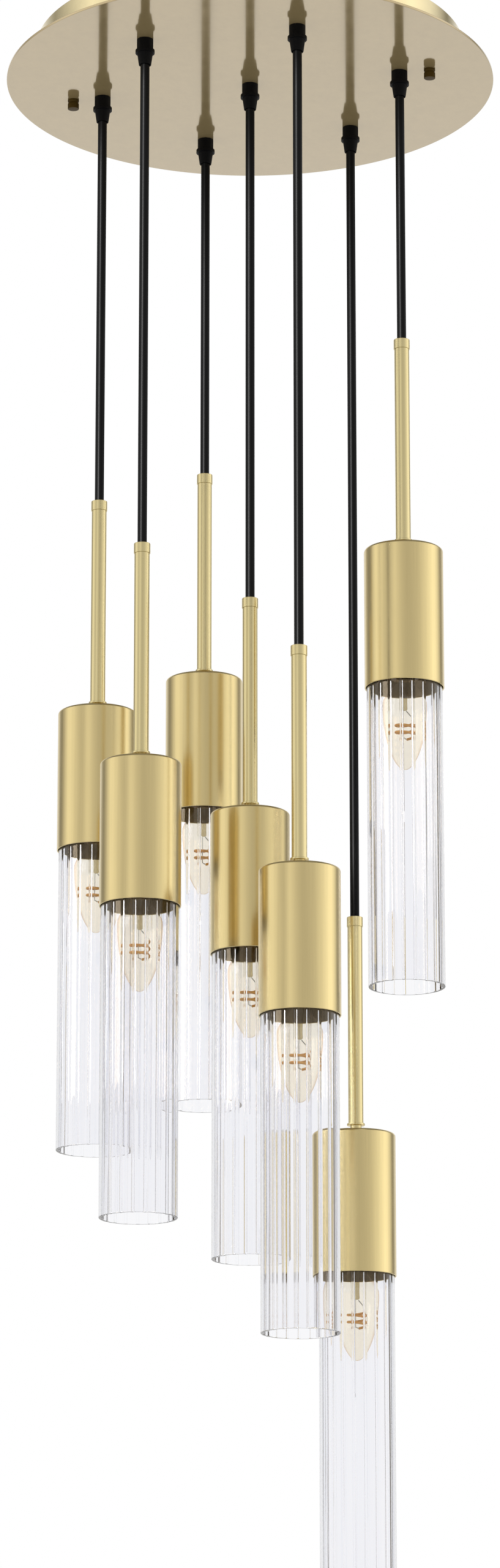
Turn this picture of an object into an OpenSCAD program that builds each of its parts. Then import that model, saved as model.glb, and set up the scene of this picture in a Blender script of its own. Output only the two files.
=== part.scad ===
// Seven-light chandelier: a round canopy, seven round cords and seven ribbed glass shades.
// Millimetres. +Z is up and X runs along the mounting bar. The origin is the centre of the
// bar's top face, which lies on the ceiling. The pendants are lettered a to g from left to right.

/* [Canopy] */
// Diameter of the face plate
plate_d = 400; // [380:5:480]
// Thickness of the face plate
plate_t = 2; // [1.5:0.5:3]
// Ceiling to the underside of the face plate
canopy_h = 31; // [27:1:50]
// Distance from the plate's edge in to the side wall
wall_inset = 24; // [10:1:32]
// Thickness of the side wall's sheet
wall_t = 1.2; // [0.8:0.1:2]
// Width of the flange that the side wall stands on
wall_flange_w = 12; // [6:1:16]

/* [Mounting bar] */
// Width of the bar
bar_w = 30; // [24:1:34]
// Thickness of the bar
bar_t = 2; // [1.5:0.5:3]
// Bar left beyond each stud
bar_end = 14; // [10:1:20]
// Distance between the two slots for the ceiling box's screws
slot_spacing = 88.9; // [82:0.1:96]
// Length of a slot
slot_l = 12; // [8:1:14]
// Width of a slot
slot_w = 5; // [4:0.5:6]
// Diameter of the bar's middle hole for the supply leads
middle_hole_d = 12; // [8:1:16]
// Distance from the side wall in to each stud
stud_inset = 26; // [22:1:34]
// Diameter of a stud
stud_d = 4; // [3:0.5:5]
// Width of a stud's lock nut across its flats
stud_nut_w = 7; // [6.5:0.5:9]
// Thickness of a stud's lock nut
stud_nut_h = 3.2; // [2:0.1:4]
// Diameter of a cap nut
cap_nut_d = 9.3; // [7.5:0.1:12]
// Length of a cap nut
cap_nut_h = 8; // [7:0.5:18]
// Thickness of a cap nut's closed end
cap_nut_end = 2; // [1.5:0.5:5]

/* [Wiring] */
// Length of a terminal block
block_l = 60; // [40:1:70]
// Width of a terminal block
block_w = 24; // [14:1:28]
// Height of a terminal block
block_h = 14; // [12.5:0.5:16]
// Diameter of the leads that link the two terminal blocks
link_d = 4; // [2:0.5:5]
// Distance from the bar's centre line to the link leads
link_off = 8; // [6:0.5:9]
// Diameter of a screw in the bar
screw_d = 3.5; // [2.5:0.5:4]
// Diameter of a screw's head
screw_head_d = 6.5; // [6:0.5:9]
// Height of a screw's head
screw_head_h = 2.4; // [1.5:0.1:3]
// Distance from the middle to the earth screw
earth_x = 108; // [104:1:110]

/* [Pendants] */
// Radius of the ring of six pendants
ring_r = 125; // [116:1:128]
// Canopy face to the top of stem a
drop_a = 351; // [120:1:1200]
// Canopy face to the top of stem b
drop_b = 424; // [120:1:1200]
// Canopy face to the top of stem c
drop_c = 298; // [120:1:1200]
// Canopy face to the top of stem d, in the middle
drop_d = 441; // [120:1:1200]
// Canopy face to the top of stem e
drop_e = 515; // [120:1:1200]
// Canopy face to the top of stem f
drop_f = 681; // [120:1:1200]
// Canopy face to the top of stem g
drop_g = 232; // [120:1:1200]

/* [Cord and grip] */
// Diameter of a cord
cord_d = 7.4; // [5.5:0.1:7.6]
// Running clearance round a cord's rounded end
cord_fit = 0.1; // [0.05:0.01:0.1]
// Radius of the bend where a cord turns over above its grip
cord_bend_r = 7; // [5:0.5:8]
// Diameter of a grip's body
grip_d = 13.2; // [11.5:0.1:16]
// Length of a grip's body
grip_body_h = 9; // [7:0.5:25]
// Diameter of the ring below the body
grip_ring_d = 15.5; // [13:0.5:20]
// Height of the ring
grip_ring_h = 3; // [1:0.5:5]
// Length of the nose below the ring
grip_nose_h = 10; // [6:0.5:16]
// Diameter of the nose at its wide end
grip_nose_d = 12.6; // [11.4:0.1:15]
// Wall left at the nose's mouth
grip_lip = 0.5; // [0.3:0.1:0.9]
// Diameter of the thread that goes up through the plate
grip_thread_d = 10; // [9.2:0.1:11]
// Length of the thread, from the canopy face
grip_thread_h = 9; // [8:0.5:10]
// Width of a grip's lock nut across its flats
grip_nut_w = 14; // [13:0.5:16]
// Thickness of a grip's lock nut
grip_nut_h = 3.5; // [2.5:0.5:4]
// Largest swing that a grip's mouth allows
swing_max = 25; // [5:1:28]
// Largest tilt that a stem's mouth allows
tilt_max = 8; // [2:1:15]
// Depth of a cord's bending point inside a mouth
bend_in = 0.5; // [0.3:0.1:1]

/* [Stem] */
// Top of the stem to the top of the cup
stem_l = 177; // [80:1:400]
// Diameter of the stem's tube
stem_d = 12; // [11:0.1:14]
// Wall of the stem's tube
stem_wall = 1; // [0.6:0.1:1.2]
// Diameter of the collar on the tube's top
collar_d = 13; // [11.5:0.1:16]
// Height of the collar
collar_h = 8; // [5:0.5:14]
// Depth of each plug inside the tube
plug_l = 10; // [5:1:20]
// Diameter of the flange at the tube's foot
foot_d = 14.4; // [12:0.1:18]
// Thickness of the flange
foot_t = 1.5; // [1:0.1:3]
// Diameter of the neck between the flange and the cup
neck_d = 9; // [8.8:0.1:11]
// Height of the neck
neck_h = 7; // [1:0.5:12]
// Diameter of the threaded nipple
nipple_d = 8; // [7.6:0.1:8.1]
// Diameter of the nipple's bore
nipple_bore_d = 5.8; // [5.4:0.1:6]
// Diameter of the bare leads inside the nipple
lead_d = 5.2; // [3:0.1:5.3]
// Width of the nut inside the cup across its flats
cup_nut_w = 13; // [12:0.5:16]
// Thickness of the nut inside the cup
cup_nut_h = 4; // [2:0.5:6]

/* [Cup] */
// Diameter of the cup
cup_d = 63; // [60:0.5:64]
// Height of the cup
cup_h = 114; // [92:1:200]
// Wall of the cup
cup_wall = 1; // [0.6:0.1:1.5]
// Radius of the cup's top edge
cup_edge_r = 2.5; // [1.8:0.1:6]

/* [Shade] */
// Glass seen below the cup
shade_below = 241; // [80:1:360]
// Gap between the cup and the glass
shade_gap = 0.5; // [0.3:0.1:1]
// Thickness of the glass between its ribs
glass_t = 2.2; // [1.5:0.1:3]
// Thickness of the glass's turned-in top
glass_top_t = 3; // [2:0.1:4]
// Radius of the glass's shoulder
glass_edge_r = 5; // [3.5:0.5:6]
// Number of ribs inside the glass
rib_count = 19; // [8:1:40]
// Radius of a rib
rib_r = 1.1; // [0.5:0.1:1.4]
// Depth of a rib's centre in the glass
rib_sink = 0.1; // [0:0.05:0.4]
// Angle of the first rib
rib_start = 10; // [0:0.1:20]

/* [Socket] */
// Cup's rim up to the socket's mouth
socket_up = 8; // [5:0.5:12]
// Length of the threaded skirt below the shoulder
skirt_l = 34; // [30:0.5:40]
// Diameter of the threaded skirt
skirt_d = 25.8; // [22:0.1:27]
// Diameter of the shoulder above the glass
shoulder_d = 34; // [31:0.5:44]
// Thickness of the shoulder
shoulder_t = 2.3; // [1.5:0.1:4]
// Length of the body above the shoulder
body_l = 20; // [16:0.5:24]
// Diameter of the body above the shoulder
body_d = 25; // [20:0.5:30]
// Length of the cap where the nipple screws in
entry_l = 8; // [6:0.5:10]
// Diameter of the cap
entry_d = 18; // [14:0.5:20]
// Outer diameter of the ring that holds the glass up
ring_nut_d = 40; // [34:0.5:46]
// Height of that ring
ring_nut_h = 6.5; // [4:0.5:9]
// Seat gap between the glass and what holds it
seat_gap = 0.3; // [0.1:0.05:0.5]
// Outer diameter of the screw shell
shell_d = 13.4; // [13:0.1:15]
// Depth of the screw shell above the socket's mouth
shell_in = 1.5; // [1.4:0.1:3]
// Depth of the bulb's base above the socket's mouth
base_in = 1.2; // [0.8:0.1:1.3]
// Diameter of the contact at the socket's top
tongue_d = 6.7; // [6.2:0.1:8]
// Thickness of that contact
tongue_h = 3; // [1:0.5:4]

/* [Bulb] */
// Diameter of the bulb at its widest
bulb_d = 35; // [30:0.5:38]
// Length of the bulb's glass below its base
bulb_l = 76; // [60:0.5:90]
// Distance from the tip to the widest place
bulb_wide_at = 53; // [40:0.5:56]
// Thickness of the bulb's glass
bulb_wall = 0.8; // [0.5:0.1:1.2]
// Diameter of the bulb where the glass meets the base
bulb_neck_d = 12; // [11.9:0.1:13]
// Diameter of the screw base
base_d = 11.84; // [11.5:0.02:11.9]
// Length of the base's shell
base_l = 18; // [15:0.5:20]
// Wall of the base's shell
base_wall = 0.35; // [0.2:0.05:0.5]
// Closed top of the base's shell
base_top_t = 1; // [0.5:0.1:2]
// Running clearance between the base and the screw shell
base_fit = 0.08; // [0.04:0.01:0.1]
// Height of the insulator above the shell
insulator_h = 3; // [2:0.5:4]
// Diameter of the contact on the insulator
contact_d = 4.8; // [4:0.1:5.4]
// Height of that contact above the insulator
contact_h = 1.5; // [0.5:0.1:2]
// Length of the glass inside the base
neck_in_base = 7; // [4:0.5:10]
// Diameter of the glass stem that carries the filament
mount_d = 4.4; // [3:0.2:5]
// Length of the glass stem's flare
mount_flare_l = 12; // [8:1:14]
// Radius of the filament's spiral
filament_r = 7.2; // [5:0.1:9]
// Diameter of the filament
filament_d = 2; // [1:0.1:2.4]
// Turns in the filament's spiral
filament_turns = 2.25; // [1.25:0.5:3.25]
// Rise of the spiral in one turn
filament_pitch = 5.6; // [4:0.1:7]
// Top of the spiral below the cup's rim
filament_low = 27.5; // [24:0.5:32]
// Height from the top of the spiral to the glass stem
wire_l = 9; // [5:0.5:12]
// Diameter of a filament wire
wire_d = 0.8; // [0.5:0.1:1]
// Distance from the middle to each wire in the glass stem
wire_off = 1.2; // [1:0.1:1.6]

/* [Hidden] */
$fn = 64;
letters = ["a", "b", "c", "d", "e", "f", "g"];

// Gap left between two separate solids that touch on the real lamp
joint_gap = 0.05;
// Extra length of a cut past the face that it opens
over = 1;
// Clearance of a hole round what passes through it
hole_fit = 0.15;
// Clearance of a thread, as a plain bore
thread_fit = 0.05;
// Gap past the end of a rod or a lead inside its bore
end_gap = 0.5;
// Height of a mouth above the point where its cord bends
mouth_rise = 0.9;
// Clearance round a cord in its mouth at full swing
mouth_fit = 0.12;
// Gap between a bulb's contact and its holder's
contact_gap = 0.1;

// Places of the pendants. Pendant d hangs in the middle and the rest stand on the ring.
ring_angle = [180, 240, 120, 0, 300, 60, 0];
middle = 3;
drop = [drop_a, drop_b, drop_c, drop_d, drop_e, drop_f, drop_g];
function at(i) = (i == middle ? 0 : ring_r) * [cos(ring_angle[i]), sin(ring_angle[i]), 0];

// Levels of the canopy
face_z = -canopy_h;
deck_z = face_z + plate_t;
wall_r = plate_d / 2 - wall_inset;
stud_r = wall_r - stud_inset;
grip_h = grip_body_h + grip_ring_h + grip_nose_h;
exit_z = face_z - grip_h;
stud_foot_z = face_z - cap_nut_h + cap_nut_end + end_gap;

// The terminal blocks stand over the middle of each half of the ring. Their screws are clear
// of the slots, towards the outer ends of the blocks.
block_x = ring_r / 2;
block_screw_x = block_x + block_l / 2 - screw_head_d;

// Cord and mouths
cord_r = cord_d / 2;
cord_bore_r = cord_r + cord_fit;
mouth_h = bend_in + mouth_rise;
function mouth_r(angle) = cord_r / cos(angle) + bend_in * tan(angle) + mouth_fit;
nose_r = mouth_r(swing_max) + grip_lip;
tail_z = -bar_t - block_h / 2;

// Levels of a pendant's head, measured from the top of its stem
cup_z = -stem_l;
rim_z = cup_z - cup_h;
tube_top_z = -collar_h;
foot_z = cup_z + neck_h;
tube_foot_z = foot_z + foot_t;
plug_r = stem_d / 2 - stem_wall - joint_gap;
socket_z = rim_z + socket_up;
shoulder_z = socket_z + skirt_l;
body_top_z = shoulder_z + shoulder_t + body_l;
socket_top_z = body_top_z + entry_l;
nipple_foot_z = body_top_z + joint_gap;
nipple_top_z = tube_foot_z + plug_l;

// Shade
glass_r = cup_d / 2 - cup_wall - shade_gap;
glass_in_r = glass_r - glass_t;
glass_top_z = shoulder_z - seat_gap;
glass_foot_z = rim_z - shade_below;
ring_nut_z = glass_top_z - glass_top_t - seat_gap - ring_nut_h;

// Bulb and screw shell
base_r = base_d / 2;
shell_in_r = base_r + base_fit;
base_z = socket_z + base_in;
tip_z = base_z - bulb_l;
base_top_z = base_z + base_l;
base_bore_r = base_r - base_wall;
glass_neck_r = base_bore_r - joint_gap;
mount_top_r = glass_neck_r - bulb_wall - joint_gap;
contact_r = contact_d / 2;
tongue_z = base_top_z + insulator_h + contact_h + contact_gap;
tongue_top_z = tongue_z + tongue_h;
filament_z = rim_z - filament_low;
mount_foot_z = filament_z + wire_l;

function bulb_r(s) =
    s < bulb_wide_at
        ? bulb_d / 2 * pow(max(0, 1 - pow(1 - s / bulb_wide_at, 2)), 0.55)
        : bulb_neck_d / 2 + (bulb_d - bulb_neck_d) / 4
            * (1 + cos(180 * (s - bulb_wide_at) / (bulb_l - bulb_wide_at)));

// A straight round rod from p to q
module rod(p, q, r) {
    d = q - p;
    flat = norm([d.x, d.y]);
    translate(p)
        rotate([0, atan2(flat, d.z), atan2(d.y, d.x)])
            cylinder(h = norm(d), r = r);
}

// A tube standing on z = 0
module tube(h, r, bore) {
    difference() {
        cylinder(h = h, r = r);
        translate([0, 0, -over])
            cylinder(h = h + 2 * over, r = bore);
    }
}

// A hexagon nut standing on z = 0
module hex_nut(w, h, bore) {
    difference() {
        cylinder(h = h, r = w / sqrt(3), $fn = 6);
        translate([0, 0, -over])
            cylinder(h = h + 2 * over, r = bore);
    }
}

module at_studs() {
    for (side = [-1, 1])
        translate([side * stud_r, 0, 0])
            children();
}

module at_pendants() {
    for (i = [0 : len(letters) - 1])
        translate(at(i))
            children();
}

// The head of pendant i, with the top of its stem at z = 0
module head(i) {
    translate(at(i) + [0, 0, face_z - drop[i]])
        children();
}

module canopy_plate() {
    color("#bfae86")
        difference() {
            translate([0, 0, face_z])
                cylinder(h = plate_t, d = plate_d, $fn = 180);
            at_pendants()
                translate([0, 0, face_z - over])
                    cylinder(h = plate_t + 2 * over, r = grip_thread_d / 2 + hole_fit);
            at_studs()
                translate([0, 0, face_z - over])
                    cylinder(h = plate_t + 2 * over, r = stud_d / 2 + hole_fit);
        }
}

module canopy_wall() {
    color("#d8c48c")
        translate([0, 0, deck_z])
            rotate_extrude($fn = 180)
                union() {
                    translate([wall_r - wall_t, 0])
                        square([wall_t, -deck_z]);
                    translate([wall_r - wall_flange_w, 0])
                        square([wall_flange_w, wall_t]);
                }
}

module slot(x) {
    half_l = (slot_l - slot_w) / 2;
    translate([x, 0, -bar_t - over]) {
        for (side = [-1, 1])
            translate([side * half_l, 0, 0])
                cylinder(h = bar_t + 2 * over, d = slot_w);
        translate([-half_l, -slot_w / 2, 0])
            cube([2 * half_l, slot_w, bar_t + 2 * over]);
    }
}

module bar_hole(x, r) {
    translate([x, 0, -bar_t - over])
        cylinder(h = bar_t + 2 * over, r = r);
}

module mounting_bar() {
    color("silver")
        difference() {
            translate([-stud_r - bar_end, -bar_w / 2, -bar_t])
                cube([2 * (stud_r + bar_end), bar_w, bar_t]);
            slot(-slot_spacing / 2);
            slot(slot_spacing / 2);
            bar_hole(0, middle_hole_d / 2);
            bar_hole(-stud_r, stud_d / 2 + thread_fit);
            bar_hole(stud_r, stud_d / 2 + thread_fit);
            bar_hole(-block_screw_x, screw_d / 2 + thread_fit);
            bar_hole(block_screw_x, screw_d / 2 + thread_fit);
            bar_hole(earth_x, screw_d / 2 + thread_fit);
        }
}

module studs() {
    color("silver")
        at_studs()
            translate([0, 0, stud_foot_z])
                cylinder(h = -stud_foot_z, d = stud_d);
}

module stud_nuts() {
    color("silver")
        at_studs()
            translate([0, 0, -bar_t - stud_nut_h])
                hex_nut(stud_nut_w, stud_nut_h, stud_d / 2 + thread_fit);
}

module cap_nuts() {
    color("#8f7a48")
        at_studs()
            translate([0, 0, face_z - cap_nut_h])
                difference() {
                    cylinder(h = cap_nut_h, d = cap_nut_d);
                    translate([0, 0, cap_nut_end])
                        cylinder(h = cap_nut_h, r = stud_d / 2 + thread_fit);
                }
}

module screw(head_z, top_z) {
    translate([0, 0, head_z - screw_head_h])
        cylinder(h = screw_head_h, d = screw_head_d);
    translate([0, 0, head_z - screw_head_h / 2])
        cylinder(h = top_z - head_z + screw_head_h / 2, d = screw_d);
}

module bar_screws() {
    color("gray") {
        for (side = [-1, 1])
            translate([side * block_screw_x, 0, 0])
                screw(-bar_t - block_h + screw_head_h, 0);
        translate([earth_x, 0, 0])
            screw(-bar_t, 0);
    }
}

module terminal_blocks() {
    color("ivory")
        for (side = [-1, 1])
            difference() {
                translate([side * block_x, 0, -bar_t - block_h / 2])
                    cube([block_l, block_w, block_h], center = true);
                translate([side * block_screw_x, 0, -bar_t - block_h - over])
                    cylinder(h = block_h + 2 * over, r = screw_d / 2 + hole_fit);
                translate([side * block_screw_x, 0, -bar_t - block_h - over])
                    cylinder(h = screw_head_h + over, r = screw_head_d / 2 + hole_fit);
            }
}

// A mouth that a cord with a rounded end swings in. It opens downward from z = 0.
module mouth(angle) {
    rotate_extrude()
        polygon([
            [0, -over],
            [mouth_r(angle), -over],
            [mouth_r(angle), 0],
            [cord_bore_r, mouth_h],
            [0, mouth_h]]);
}

module cord_grip() {
    difference() {
        union() {
            translate([0, 0, grip_h - grip_body_h])
                cylinder(h = grip_body_h, d = grip_d);
            translate([0, 0, grip_nose_h])
                cylinder(h = grip_ring_h, d = grip_ring_d);
            cylinder(h = grip_nose_h, r1 = nose_r, r2 = grip_nose_d / 2);
            translate([0, 0, grip_h - over])
                cylinder(h = grip_thread_h + over, d = grip_thread_d);
        }
        translate([0, 0, -over])
            cylinder(h = grip_h + grip_thread_h + 2 * over, r = cord_bore_r);
        mouth(swing_max);
    }
}

module cord_grips() {
    color("#1a1a1a")
        at_pendants()
            translate([0, 0, exit_z])
                cord_grip();
}

module grip_nuts() {
    color("#1a1a1a")
        at_pendants()
            translate([0, 0, deck_z])
                hex_nut(grip_nut_w, grip_nut_h, grip_thread_d / 2 + thread_fit);
}

// The fixed end of a cord: up through its grip, over in a bend and along x to its block
module cord_tail(reach) {
    start_z = exit_z + bend_in + cord_r + hole_fit;
    bend_z = tail_z - cord_bend_r;
    translate([0, 0, start_z])
        cylinder(h = bend_z - start_z, r = cord_r);
    translate([cord_bend_r, 0, bend_z])
        rotate([90, 0, 180])
            rotate_extrude(angle = 90)
                translate([cord_bend_r, 0])
                    circle(r = cord_r);
    rod([cord_bend_r, 0, tail_z], [reach - joint_gap, 0, tail_z], cord_r);
}

module cord_tails() {
    end_reach = block_x - block_l / 2;
    side_reach = ring_r * sin(60) - block_w / 2;
    color("#1a1a1a") {
        for (i = [0, 3, 6])
            translate(at(i))
                rotate(at(i).x > 0 ? 180 : 0)
                    cord_tail(end_reach);
        for (i = [1, 2, 4, 5])
            translate(at(i))
                rotate(at(i).y > 0 ? -90 : 90)
                    cord_tail(side_reach);
        translate([0, link_off, tail_z])
            rod([joint_gap - end_reach, 0, 0], [end_reach - joint_gap, 0, 0], link_d / 2);
    }
}

// A free cord. Each end is round about the point where the cord bends in its mouth.
module cord(i) {
    top_z = exit_z + bend_in;
    low_z = face_z - drop[i] - bend_in;
    color("#151515")
        translate(at(i)) {
            translate([0, 0, low_z])
                cylinder(h = top_z - low_z, r = cord_r);
            for (z = [low_z, top_z])
                translate([0, 0, z])
                    sphere(r = cord_r);
        }
}

module collar() {
    difference() {
        union() {
            translate([0, 0, -collar_h])
                cylinder(h = collar_h, d = collar_d);
            translate([0, 0, -collar_h - plug_l])
                cylinder(h = plug_l + over, r = plug_r);
        }
        translate([0, 0, -collar_h - plug_l - over])
            cylinder(h = collar_h + plug_l + 2 * over, r = cord_bore_r);
        mirror([0, 0, 1])
            mouth(tilt_max);
    }
}

module foot_bush() {
    difference() {
        union() {
            translate([0, 0, cup_z])
                cylinder(h = neck_h + over, d = neck_d);
            translate([0, 0, foot_z])
                cylinder(h = foot_t, d = foot_d);
            translate([0, 0, foot_z])
                cylinder(h = foot_t + plug_l, r = plug_r);
        }
        translate([0, 0, cup_z - over])
            cylinder(h = neck_h + foot_t + plug_l + 2 * over, r = nipple_d / 2 + thread_fit);
    }
}

module stem(i) {
    color("#cdb983")
        head(i) {
            collar();
            translate([0, 0, tube_foot_z + joint_gap])
                tube(tube_top_z - tube_foot_z - 2 * joint_gap, stem_d / 2, stem_d / 2 - stem_wall);
            foot_bush();
            translate([0, 0, nipple_foot_z])
                tube(nipple_top_z - nipple_foot_z, nipple_d / 2, nipple_bore_d / 2);
            translate([0, 0, cup_z - cup_wall - cup_nut_h])
                hex_nut(cup_nut_w, cup_nut_h, nipple_d / 2 + thread_fit);
        }
}

// Half outline of a closed-topped pot: radius r, height h, round top edge of radius e
module pot_outline(r, h, e) {
    square([r - e, h]);
    square([r, h - e]);
    translate([r - e, h - e])
        circle(r = e);
}

module cup(i) {
    color("#cbb678")
        head(i)
            translate([0, 0, rim_z])
                difference() {
                    rotate_extrude($fn = 96)
                        difference() {
                            pot_outline(cup_d / 2, cup_h, cup_edge_r);
                            translate([0, -over])
                                pot_outline(
                                    cup_d / 2 - cup_wall, cup_h + over - cup_wall, cup_edge_r - cup_wall);
                        }
                    translate([0, 0, cup_h - cup_wall - over])
                        cylinder(h = cup_wall + 2 * over, r = nipple_d / 2 + hole_fit);
                }
}

module socket_housing() {
    difference() {
        union() {
            translate([0, 0, socket_z])
                cylinder(h = skirt_l + over, d = skirt_d);
            translate([0, 0, shoulder_z])
                cylinder(h = shoulder_t, d = shoulder_d);
            translate([0, 0, shoulder_z])
                cylinder(h = shoulder_t + body_l, d = body_d);
            translate([0, 0, body_top_z - over])
                cylinder(h = entry_l + over, d = entry_d);
        }
        translate([0, 0, socket_z - over])
            cylinder(h = over + base_top_z + insulator_h - socket_z, r = shell_d / 2 + joint_gap);
        translate([0, 0, base_top_z])
            cylinder(h = tongue_top_z + joint_gap - base_top_z, r = tongue_d / 2 + joint_gap);
        translate([0, 0, base_top_z])
            cylinder(h = socket_top_z - base_top_z, r = nipple_bore_d / 2);
        translate([0, 0, body_top_z])
            cylinder(h = entry_l + over, r = nipple_d / 2 + thread_fit);
    }
}

// The leads inside the head: the jacket runs down the stem and the bare leads go through the nipple
module inner_lead() {
    jacket_top = -bend_in - cord_r - hole_fit;
    jacket_foot = nipple_top_z + end_gap;
    lead_foot = tongue_top_z + end_gap;
    translate([0, 0, jacket_foot])
        cylinder(h = jacket_top - jacket_foot, r = cord_r);
    translate([0, 0, lead_foot])
        cylinder(h = jacket_foot + over - lead_foot, d = lead_d);
}

module socket(i) {
    color("#3a342a")
        head(i) {
            socket_housing();
            translate([0, 0, socket_z + shell_in])
                tube(base_top_z - socket_z - shell_in, shell_d / 2, shell_in_r);
            translate([0, 0, tongue_z])
                cylinder(h = tongue_h, d = tongue_d);
            translate([0, 0, ring_nut_z])
                tube(ring_nut_h, ring_nut_d / 2, skirt_d / 2 + thread_fit);
            inner_lead();
        }
}

module shade_section() {
    difference() {
        circle(r = glass_r, $fn = 120);
        circle(r = glass_in_r, $fn = 120);
    }
    for (k = [0 : rib_count - 1])
        rotate(rib_start + k * 360 / rib_count)
            translate([glass_in_r + rib_sink, 0])
                circle(r = rib_r, $fn = 24);
}

module shade(i) {
    shoulder_low = glass_top_z - glass_edge_r - glass_top_t;
    color([0.9, 0.93, 0.93, 0.35])
        head(i) {
            translate([0, 0, glass_foot_z])
                linear_extrude(height = shoulder_low - glass_foot_z)
                    shade_section();
            translate([0, 0, shoulder_low])
                rotate_extrude($fn = 120)
                    difference() {
                        pot_outline(glass_r, glass_top_z - shoulder_low, glass_edge_r);
                        translate([0, -over])
                            pot_outline(glass_in_r, glass_edge_r + over, glass_edge_r - glass_t);
                        translate([0, -over])
                            square([skirt_d / 2 + seat_gap, glass_edge_r + glass_top_t + 2 * over]);
                    }
        }
}

// Half outline of the bulb from its tip up, drawn in by a wall's thickness
module bulb_outline(wall) {
    steps = 18;
    polygon([
        [0, wall],
        for (k = [1 : steps])
            let (s = k * bulb_l / steps)
                [bulb_r(s) - wall, s + wall * (1 - s / bulb_l)],
        [0, bulb_l]]);
}

module bulb_glass() {
    translate([0, 0, tip_z])
        rotate_extrude()
            difference() {
                union() {
                    bulb_outline(0);
                    square([glass_neck_r, bulb_l + neck_in_base]);
                }
                bulb_outline(bulb_wall);
                square([glass_neck_r - bulb_wall, bulb_l + neck_in_base + over]);
            }
}

// The glass stem inside the bulb that carries the filament
module bulb_mount() {
    flare_z = base_z - mount_flare_l;
    translate([0, 0, base_z])
        cylinder(h = neck_in_base, r = mount_top_r);
    translate([0, 0, flare_z])
        cylinder(h = mount_flare_l, r1 = mount_d / 2, r2 = mount_top_r);
    translate([0, 0, mount_foot_z])
        cylinder(h = flare_z - mount_foot_z, d = mount_d);
}

module bulb(i) {
    color([0.95, 0.82, 0.55, 0.4])
        head(i) {
            bulb_glass();
            bulb_mount();
        }
}

module base_shell() {
    translate([0, 0, base_z + joint_gap])
        difference() {
            union() {
                cylinder(h = base_l - joint_gap, r = base_r);
                translate([0, 0, base_l - joint_gap])
                    cylinder(h = insulator_h, r1 = base_r, r2 = contact_r);
                translate([0, 0, base_l - joint_gap])
                    cylinder(h = insulator_h + contact_h, r = contact_r);
            }
            translate([0, 0, -over])
                cylinder(h = base_l - base_top_t + over, r = base_bore_r);
        }
}

// The filament: a round strip wound into a spiral, swept as six-sided rings
module filament() {
    per_turn = 12;
    sides = 6;
    rings = round(per_turn * filament_turns);
    points = [
        for (k = [0 : rings])
            let (a = 360 * k / per_turn, z = -filament_pitch * k / per_turn)
                for (j = [0 : sides - 1])
                    let (r = filament_r + filament_d / 2 * cos(360 * j / sides))
                        [r * cos(a), r * sin(a), z + filament_d / 2 * sin(360 * j / sides)]];
    skin = [
        for (k = [0 : rings - 1])
            for (j = [0 : sides - 1])
                let (n = (j + 1) % sides, p = k * sides, q = p + sides)
                    each [[p + j, p + n, q + j], [p + n, q + n, q + j]]];
    first = [for (j = [1 : sides - 2]) [0, j + 1, j]];
    end = rings * sides;
    last = [for (j = [1 : sides - 2]) [end, end + j, end + j + 1]];
    translate([0, 0, filament_z])
        polyhedron(points = points, faces = concat(skin, first, last));
}

// One wire leans out to the spiral's start, so its end is lower by its radius to clear the glass
// stem. The other goes straight down inside the spiral and out to its end.
module filament_wires() {
    wire_r = wire_d / 2;
    start_z = mount_foot_z - joint_gap;
    end_z = filament_z - filament_pitch * filament_turns;
    inner_r = filament_r - filament_d / 2;
    rod([wire_off, 0, start_z - wire_r], [filament_r, 0, filament_z + filament_d / 2 + wire_r], wire_r);
    rod([-wire_off, 0, start_z], [-wire_off, 0, end_z], wire_r);
    rod([-wire_off, 0, end_z], [-wire_r - joint_gap, inner_r - wire_r, end_z], wire_r);
}

module bulb_base(i) {
    color("#b5793a")
        head(i) {
            base_shell();
            filament();
            filament_wires();
        }
}

canopy_plate();
canopy_wall();
mounting_bar();
studs();
stud_nuts();
cap_nuts();
bar_screws();
terminal_blocks();
cord_grips();
grip_nuts();
cord_tails();
for (i = [0 : len(letters) - 1]) {
    cord(i);
    stem(i);
    cup(i);
    socket(i);
    shade(i);
    bulb(i);
    bulb_base(i);
}
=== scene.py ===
from math import atan2, cos, pi, radians, sin, sqrt

import bmesh
import bpy
from bpy.props import FloatProperty, FloatVectorProperty, IntProperty, PointerProperty
from mathutils import Euler, Matrix, Vector


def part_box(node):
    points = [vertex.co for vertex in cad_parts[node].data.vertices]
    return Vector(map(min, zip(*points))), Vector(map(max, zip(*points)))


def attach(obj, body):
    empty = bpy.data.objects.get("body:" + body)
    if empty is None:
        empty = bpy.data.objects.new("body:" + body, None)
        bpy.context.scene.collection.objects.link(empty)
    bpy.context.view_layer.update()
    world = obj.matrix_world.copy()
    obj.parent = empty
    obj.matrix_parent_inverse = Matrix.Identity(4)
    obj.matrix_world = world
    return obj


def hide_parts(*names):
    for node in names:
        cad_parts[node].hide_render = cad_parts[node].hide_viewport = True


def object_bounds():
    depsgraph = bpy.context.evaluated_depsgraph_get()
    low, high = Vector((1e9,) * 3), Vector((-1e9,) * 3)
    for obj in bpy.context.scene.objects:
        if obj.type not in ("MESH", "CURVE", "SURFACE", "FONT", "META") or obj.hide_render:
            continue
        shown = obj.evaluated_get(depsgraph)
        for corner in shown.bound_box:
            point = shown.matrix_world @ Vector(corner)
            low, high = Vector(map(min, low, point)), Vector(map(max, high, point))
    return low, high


bl_info = {
    "name": "Seven-Light Chandelier",
    "version": (1, 0, 0),
    "blender": (4, 5, 0),
    "location": "3D View > Sidebar > Chandelier",
    "description": "Makes a chandelier with seven ribbed glass shades, and its studio",
    "category": "Add Mesh",
}

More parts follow.
